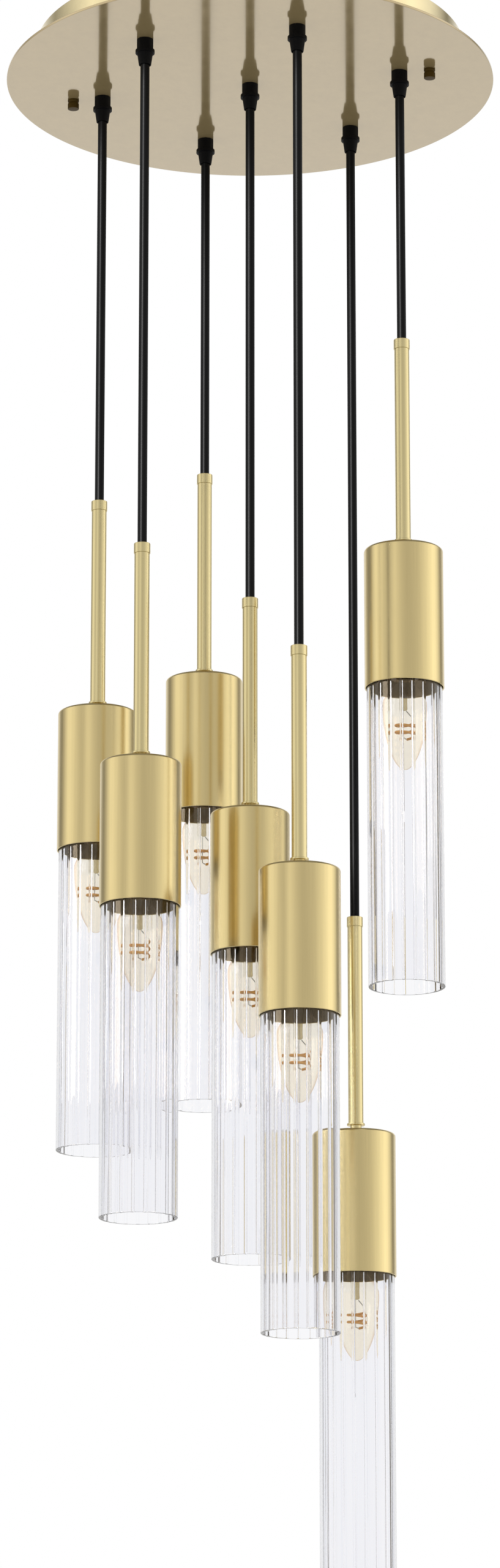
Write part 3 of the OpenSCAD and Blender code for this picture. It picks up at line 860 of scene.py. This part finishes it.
class HardwareOperator(bpy.types.Operator):
    """Finish the bar, studs, nuts, blocks and fixed cord ends in the canopy"""

    bl_idname = "chandelier.finish_hardware"
    bl_label = "Mounting hardware"

    def execute(self, context):
        colours = context.scene.chandelier_colours
        finishes = {
            "mounting_bar": zinc_steel,
            "studs": zinc_steel,
            "stud_nuts": zinc_steel,
            "bar_screws": zinc_steel,
            "terminal_blocks": block_nylon,
            "grip_nuts": grip_nylon,
            "cord_tails": cord_end_jacket,
        }
        for node, finish in finishes.items():
            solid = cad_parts[node]
            solid.data.materials.clear()
            solid.data.materials.append(finish(colours))
        return {"FINISHED"}


def cord_end_jacket(colours):
    """The same PVC jacket on the fixed ends, whose lines follow no map."""
    return surface("PVC_Cord_End", colours.cord, 0.36, (0.8, 0.8, 0.8), 0.008)


class GripOperator(bpy.types.Operator):
    """Add the seven cord grips below the canopy"""

    bl_idname = "chandelier.add_grips"
    bl_label = "Cord grips"

    def execute(self, context):
        sizes = context.scene.chandelier_cords
        nylon = grip_nylon(context.scene.chandelier_colours)
        body_foot = FACE_Z - sizes.body_h
        ring_foot = body_foot - sizes.ring_h
        mouth, lip = sizes.mouth_d / 2, 0.5 * MM
        bore = sizes.cord_d / 2 + 0.1 * MM
        outline = [
            (bore, FACE_Z),
            (sizes.grip_d / 2, FACE_Z),
            (sizes.grip_d / 2, body_foot),
            (sizes.ring_d / 2, body_foot),
            (sizes.ring_d / 2, ring_foot),
            (sizes.nose_d / 2, ring_foot),
            (mouth + lip, GRIP_MOUTH_Z),
            (mouth, GRIP_MOUTH_Z),
            (bore, GRIP_MOUTH_Z + MOUTH_H),
        ]
        grip = soften(turned(outline, 48), 0.3 * MM)
        for x in LETTERS:
            name, copied, nodes = "cord_grip_" + x, grip.copy(), ["cord_grips"]
            at = on_axis(x)
            add_piece(name, copied, nylon, "canopy", nodes, at)
        grip.free()
        return {"FINISHED"}


class StemOperator(bpy.types.Operator):
    """Add the stems: collar, tube, foot, nipple and nut"""

    bl_idname = "chandelier.add_stems"
    bl_label = "Stems"

    def execute(self, context):
        sizes = context.scene.chandelier_heads
        cords = context.scene.chandelier_cords
        brass = pale_brass(context.scene.chandelier_colours)
        tube_r, collar_r = sizes.stem_d / 2, sizes.collar_d / 2
        foot_r, neck_r = sizes.foot_d / 2, sizes.neck_d / 2
        wall, flange_t = 1 * MM, 1.5 * MM
        neck_top = CUP_HIGH + sizes.neck_h
        flange_top = neck_top + flange_t
        mouth = cords.cord_d / 2 + 0.225 * MM
        outline = [
            (mouth, 0),
            (collar_r, 0),
            (collar_r, -sizes.collar_h),
            (tube_r - wall, -sizes.collar_h),
            (tube_r - wall, -sizes.collar_h + wall),
            (mouth, -MOUTH_H),
        ]
        collar = wrap(soften(turned(outline, 48), 0.4 * MM), collar_r)
        add_seven("stem_collar", collar, brass, "stem")
        outline = [
            (tube_r, -sizes.collar_h - PLAY),
            (tube_r, flange_top + PLAY),
            (tube_r - wall, flange_top + PLAY),
            (tube_r - wall, -sizes.collar_h - PLAY),
        ]
        tube = wrap(soften(turned(outline, 64), 0.15 * MM), tube_r)
        add_seven("stem_tube", tube, brass, "stem")
        outline = [
            (LEAD_BORE, flange_top),
            (foot_r, flange_top),
            (foot_r, neck_top),
            (neck_r, neck_top),
            (neck_r, CUP_HIGH + PLAY),
            (LEAD_BORE, CUP_HIGH + PLAY),
        ]
        foot = wrap(soften(turned(outline, 48), 0.25 * MM), foot_r)
        add_seven("stem_foot", foot, brass, "stem")
        self.add_nipples(context, sizes.cup_wall)
        return {"FINISHED"}

    def add_nipples(self, context, cup_wall):
        """Threaded nipple and the hexagon nut inside the cup."""
        steel = zinc_steel(context.scene.chandelier_colours)
        crest, root = 4 * MM, 3.5 * MM
        nut_w, nut_h = 13 * MM, 4 * MM
        # The nipple's lower end is screwed into the lamp holder's cap
        top, low = CUP_HIGH, CUP_LOW + 64.4 * MM
        pitch = 1 * MM
        thread = [
            (crest if k % 2 else root, low + pitch * (k + 1) / 2)
            for k in range(int((top - low) / pitch * 2) - 2)
        ]
        outline = [(root, low), *thread, (root, top)]
        nipple = turned([(LEAD_BORE, low), *outline, (LEAD_BORE, top)], 24)
        add_seven("cup_nipple", nipple, steel, "stem", 60)
        nut = bmesh.new()
        bmesh.ops.create_circle(nut, radius=nut_w / sqrt(3), segments=6)
        bmesh.ops.create_circle(nut, radius=crest + PLAY, segments=24)
        bmesh.ops.bridge_loops(nut, edges=list(nut.edges))
        raised = bmesh.ops.extrude_face_region(nut, geom=list(nut.faces))["geom"]
        move(nut, raised, -nut_h)
        bmesh.ops.recalc_face_normals(nut, faces=nut.faces)
        move(nut, nut.verts, CUP_HIGH - cup_wall - PLAY)
        add_seven("cup_nut", nut, steel, "stem", 30)


class CupOperator(bpy.types.Operator):
    """Add the brass cups over the lamp holders"""

    bl_idname = "chandelier.add_cups"
    bl_label = "Cups"

    def execute(self, context):
        sizes = context.scene.chandelier_heads
        radius, wall, edge = sizes.cup_d / 2, sizes.cup_wall, sizes.cup_edge_r
        hole = 4.15 * MM
        outline = [
            (hole, CUP_HIGH),
            *arc(radius - edge, CUP_HIGH - edge, edge, 90, 0, 6),
            (radius, CUP_LOW + 0.3 * MM),
            (radius - 0.3 * MM, CUP_LOW),
            (radius - wall + 0.3 * MM, CUP_LOW),
            (radius - wall, CUP_LOW + 0.3 * MM),
            *arc(radius - edge, CUP_HIGH - edge, edge - wall, 0, 90, 4),
            (hole, CUP_HIGH - wall),
        ]
        cup = wrap(turned(outline, 128), radius)
        brass = brushed_brass(context.scene.chandelier_colours)
        add_seven("cup_shell", cup, brass, "cup")
        return {"FINISHED"}


class HolderOperator(bpy.types.Operator):
    """Add the lamp holders, their screw shells and the rings that hold the glass"""

    bl_idname = "chandelier.add_holders"
    bl_label = "Lamp holders"

    def execute(self, context):
        colours = context.scene.chandelier_colours
        resin = holder_resin(colours)
        mouth_z = CUP_LOW + HOLDER_RISE
        shoulder_z = mouth_z + 34 * MM
        flange_top = shoulder_z + 2.3 * MM
        body_top, cap_top = shoulder_z + 22.3 * MM, shoulder_z + 30.3 * MM
        flange_r, body_r, cap_r = 17 * MM, 12.5 * MM, 9 * MM
        # Bores for the nipple, the contact and the screw shell
        nipple_r, seat_r, bore = 4.05 * MM, 3.4 * MM, 6.75 * MM
        seat_foot, seat_top = mouth_z + 22.2 * MM, mouth_z + 26.9 * MM
        crest, root, pitch = 12.9 * MM, 12.3 * MM, 2.4 * MM
        # The skirt's coarse thread, as ridges
        thread = []
        for k in range(12):
            low = mouth_z + 2 * MM + k * pitch
            thread += [(root, low), (crest, low + 0.3 * pitch)]
            thread += [(crest, low + 0.6 * pitch), (root, low + 0.9 * pitch)]
        outline = [
            (bore, mouth_z),
            (root - 0.6 * MM, mouth_z),
            (root, mouth_z + 0.6 * MM),
            *thread,
            (root, shoulder_z),
            (flange_r, shoulder_z),
            (flange_r, flange_top),
            (body_r, flange_top),
            (body_r, body_top),
            (cap_r, body_top),
            (cap_r, cap_top),
            (nipple_r, cap_top),
            (nipple_r, body_top),
            (LEAD_BORE, body_top),
            (LEAD_BORE, seat_top),
            (seat_r, seat_top),
            (seat_r, seat_foot),
            (bore, seat_foot),
        ]
        housing = turned(outline, 64)
        add_seven("lamp_holder", housing, resin, "socket", 40)
        ring_r, grooves = 20 * MM, 20
        ring_top = GLASS_HIGH - 3.3 * MM
        ring_foot = ring_top - 6.5 * MM
        outline = [
            (crest + PLAY, ring_foot),
            (ring_r, ring_foot),
            (ring_r, ring_top),
            (crest + PLAY, ring_top),
        ]
        ring = turned(outline, 120)
        # Finger grooves round the ring's edge
        for v in ring.verts:
            if v.co.xy.length > 0.95 * ring_r:
                turn = atan2(v.co.y, v.co.x)
                v.co.xy *= 1 - 0.035 * max(0.0, cos(grooves * turn))
        soften(ring, 0.3 * MM, 1)
        add_seven("glass_ring", ring, resin, "socket", 40)
        self.add_shells(colours, mouth_z)
        return {"FINISHED"}

    def add_shells(self, colours, mouth_z):
        """Pressed screw shell and the contact above it."""
        brass = base_brass(colours)
        outer, inner, pitch = 6.7 * MM, 6.02 * MM, 2.54 * MM
        low, high = mouth_z + 1.5 * MM, mouth_z + 19.2 * MM
        steps = int((high - low) / pitch * 2)
        line = [(low + (high - low) * k / steps, k % 2) for k in range(steps + 1)]
        outline = [(outer - 0.25 * MM * dip, z) for z, dip in line]
        outline += [(inner + 0.2 * MM * (1 - dip), z) for z, dip in reversed(line)]
        shell = turned(outline, 48)
        add_seven("screw_shell", shell, brass, "socket", 60)
        low, high, radius = mouth_z + 23.8 * MM, mouth_z + 26.8 * MM, 3.3 * MM
        outline = [(0, low), (radius, low), (radius, high), (0, high)]
        contact = soften(turned(outline, 32, closed=False), 0.4 * MM)
        add_seven("holder_contact", contact, brass, "socket")


class ShadeOperator(bpy.types.Operator):
    """Add the clear glass cylinders with their ribs inside"""

    bl_idname = "chandelier.add_shades"
    bl_label = "Glass shades"

    def execute(self, context):
        sizes = context.scene.chandelier_heads
        outer = sizes.glass_d / 2
        inner = outer - sizes.glass_t
        bend, top_t, lip = 5 * MM, 3 * MM, 0.6 * MM
        hole = 13.2 * MM
        rib_top = GLASS_HIGH - bend - top_t
        bend_z = rib_top + sizes.glass_t
        per_rib = 24
        outline = [
            (hole, GLASS_HIGH),
            *arc(outer - bend, GLASS_HIGH - bend, bend, 90, 0, 8),
            (outer, GLASS_LOW + lip),
            *arc(outer - lip, GLASS_LOW + lip, lip, -15, -90, 3),
            *arc(inner + lip, GLASS_LOW + lip, lip, -90, -165, 3),
            (inner, GLASS_LOW + lip),
            (inner, rib_top),
            *arc(outer - bend, bend_z, bend - sizes.glass_t, 0, 90, 5),
            (hole, GLASS_HIGH - top_t),
        ]
        glass = turned(outline, sizes.rib_count * per_rib)
        # Push the inner wall in at each rib, by the rib's round section
        pitch = 2 * pi / sizes.rib_count
        for v in glass.verts:
            at = v.co.xy
            if at.length < (outer + inner) / 2 and v.co.z < rib_top + 0.01 * MM:
                turn = (atan2(at.y, at.x) - sizes.rib_start + pitch / 2) % pitch
                across = (turn - pitch / 2) * inner
                if abs(across) < sizes.rib_r:
                    rise = sqrt(sizes.rib_r**2 - across**2) - sizes.rib_sink
                    v.co.xy *= 1 - rise / at.length
        clear = shade_glass(context.scene.chandelier_colours)
        add_seven("ribbed_glass", glass, clear, "shade", 50)
        return {"FINISHED"}


class BulbOperator(bpy.types.Operator):
    """Add the bulbs' glass and the glass stems inside"""

    bl_idname = "chandelier.add_bulbs"
    bl_label = "Bulbs"

    def execute(self, context):
        sizes = context.scene.chandelier_bulbs
        colours = context.scene.chandelier_colours
        base_z = CUP_LOW + BASE_RISE - PLAY
        tip_z = base_z - sizes.bulb_l
        steps = 40
        line = [sizes.bulb_l * (k / steps) ** 1.3 for k in range(steps + 1)]
        outline = [(bulb_radius(sizes, s), tip_z + s) for s in line]
        outline += [(5.5 * MM, base_z), (5.5 * MM, base_z + 5 * MM)]
        bulb = turned(outline, 64, closed=False)
        add_seven("bulb_glass", bulb, bulb_glass(colours), "bulb")
        foot_z = CUP_LOW - 18.5 * MM
        flare_z = base_z - 12 * MM
        radius = sizes.mount_d / 2
        outline = [
            (0, foot_z),
            (radius * 0.7, foot_z + 0.3 * MM),
            (radius, foot_z + 1.2 * MM),
            (radius * 0.92, foot_z + 5 * MM),
            (radius, flare_z),
            (radius * 1.25, flare_z + 4 * MM),
            (radius * 1.65, flare_z + 8.5 * MM),
            (4.6 * MM, base_z),
            (4.6 * MM, base_z + 5 * MM),
        ]
        mount = turned(outline, 32, closed=False)
        add_seven("bulb_stem", mount, mount_glass(colours), "bulb")
        return {"FINISHED"}


def bulb_radius(sizes, s):
    """Radius of the bulb at a distance s from its tip: a torpedo with a neck."""
    if s < sizes.wide_at:
        return sizes.bulb_d / 2 * max(0.0, 1 - (1 - s / sizes.wide_at) ** 2) ** 0.55
    share = (s - sizes.wide_at) / (sizes.bulb_l - sizes.wide_at)
    return sizes.neck_d / 2 + (sizes.bulb_d - sizes.neck_d) / 4 * (1 + cos(pi * share))


class FilamentOperator(bpy.types.Operator):
    """Add the spiral filaments, their wires and the screw bases"""

    bl_idname = "chandelier.add_filaments"
    bl_label = "Filaments and bases"

    def execute(self, context):
        sizes = context.scene.chandelier_bulbs
        colours = context.scene.chandelier_colours
        top_z = CUP_LOW - 27.5 * MM
        per_turn = 40
        coil = bmesh.new()
        at = Matrix.Translation((sizes.coil_r, 0, top_z))
        at = at @ Matrix.Rotation(pi / 2, 4, "X")
        ring = {"radius": sizes.coil_d / 2, "segments": 12, "matrix": at}
        bmesh.ops.create_circle(coil, cap_ends=True, **ring)
        bmesh.ops.spin(
            coil,
            geom=list(coil.faces) + list(coil.edges) + list(coil.verts),
            axis=(0, 0, 1),
            cent=(0, 0, 0),
            dvec=(0, 0, -sizes.coil_rise / per_turn),
            angle=2 * pi * sizes.turns,
            steps=int(per_turn * sizes.turns),
        )
        bmesh.ops.recalc_face_normals(coil, faces=coil.faces)
        coat = filament_coat(colours)
        add_seven("filament", coil, coat, "bulb_base", 60)
        self.add_wires(sizes, zinc_steel(colours), top_z)
        self.add_bases(base_brass(colours), holder_resin(colours))
        return {"FINISHED"}

    def add_wires(self, sizes, steel, top_z):
        """The two wires from the glass stem to the ends of the spiral."""
        radius = sizes.wire_d / 2
        start_z, end_z = top_z + 9 * MM, top_z - sizes.coil_rise * sizes.turns
        off, clear = 1.2 * MM, sizes.coil_d / 2 + radius
        runs = (
            ((off, 0, start_z - radius), (sizes.coil_r, 0, top_z + clear)),
            ((-off, 0, start_z - PLAY), (-off, 0, end_z)),
            ((-off, 0, end_z), (-radius, sizes.coil_r - clear, end_z)),
        )
        wires = bmesh.new()
        for start, end in runs:
            run = Vector(end) - Vector(start)
            turn = run.to_track_quat("Z", "Y").to_matrix().to_4x4()
            at = Matrix.Translation((Vector(start) + Vector(end)) / 2) @ turn
            shape = {"radius1": radius, "radius2": radius, "depth": run.length}
            bmesh.ops.create_cone(wires, cap_ends=True, segments=10, matrix=at, **shape)
        add_seven("filament_wires", wires, steel, "bulb_base", 50)

    def add_bases(self, brass, resin):
        """Screw base with its insulator and contact."""
        low = CUP_LOW + BASE_RISE
        high = CUP_LOW + 27.2 * MM
        crest, root, pitch = 5.92 * MM, 5.45 * MM, 2.54 * MM
        thread = []
        for k in range(6):
            at = low + 2 * MM + k * pitch
            thread += [(root, at), (crest, at + 0.35 * pitch)]
            thread += [(crest, at + 0.65 * pitch)]
        outline = [
            (root - 0.3 * MM, low),
            (crest, low),
            (crest, low + 1.4 * MM),
            *thread,
            (root, high),
            (root - 0.3 * MM, high),
        ]
        shell = turned(outline, 40)
        add_seven("screw_base", shell, brass, "bulb_base", 50)
        cone_r, contact_r, tip = 5.4 * MM, 2.4 * MM, high + 3 * MM
        outline = [(0, high), (cone_r, high), (contact_r, tip), (0, tip)]
        insulator = turned(outline, 32, closed=False)
        add_seven("base_insulator", insulator, resin, "bulb_base")
        end = tip + 1.5 * MM
        outline = [(0, tip), (contact_r, tip), (contact_r * 0.875, end), (0, end)]
        contact = turned(outline, 24, closed=False)
        add_seven("base_contact", contact, brass, "bulb_base")


OPERATORS = (
    StageOperator,
    CordOperator,
    CanopyOperator,
    HardwareOperator,
    GripOperator,
    StemOperator,
    CupOperator,
    HolderOperator,
    ShadeOperator,
    BulbOperator,
    FilamentOperator,
)


class ChandelierPanel(bpy.types.Panel):
    """Buttons for each group of pieces, and their sizes and colours"""

    bl_idname = "VIEW3D_PT_chandelier"
    bl_label = "Chandelier"
    bl_space_type = "VIEW_3D"
    bl_region_type = "UI"
    bl_category = "Chandelier"

    def draw(self, context):
        for operator in OPERATORS:
            self.layout.operator(operator.bl_idname)
        for name, group in GROUPS.items():
            box = self.layout.box()
            box.label(text=name.split("_")[1].capitalize())
            for key in group.__annotations__:
                box.prop(getattr(context.scene, name), key)


CLASSES = (*GROUPS.values(), *OPERATORS, ChandelierPanel)


def register():
    for cls in CLASSES:
        bpy.utils.register_class(cls)
    for name, group in GROUPS.items():
        setattr(bpy.types.Scene, name, PointerProperty(type=group))


def unregister():
    for name in GROUPS:
        delattr(bpy.types.Scene, name)
    for cls in reversed(CLASSES):
        bpy.utils.unregister_class(cls)


def main():
    register()
    for operator in OPERATORS:
        group, name = operator.bl_idname.split(".")
        getattr(getattr(bpy.ops, group), name)()


if __name__ == "__main__":
    main()
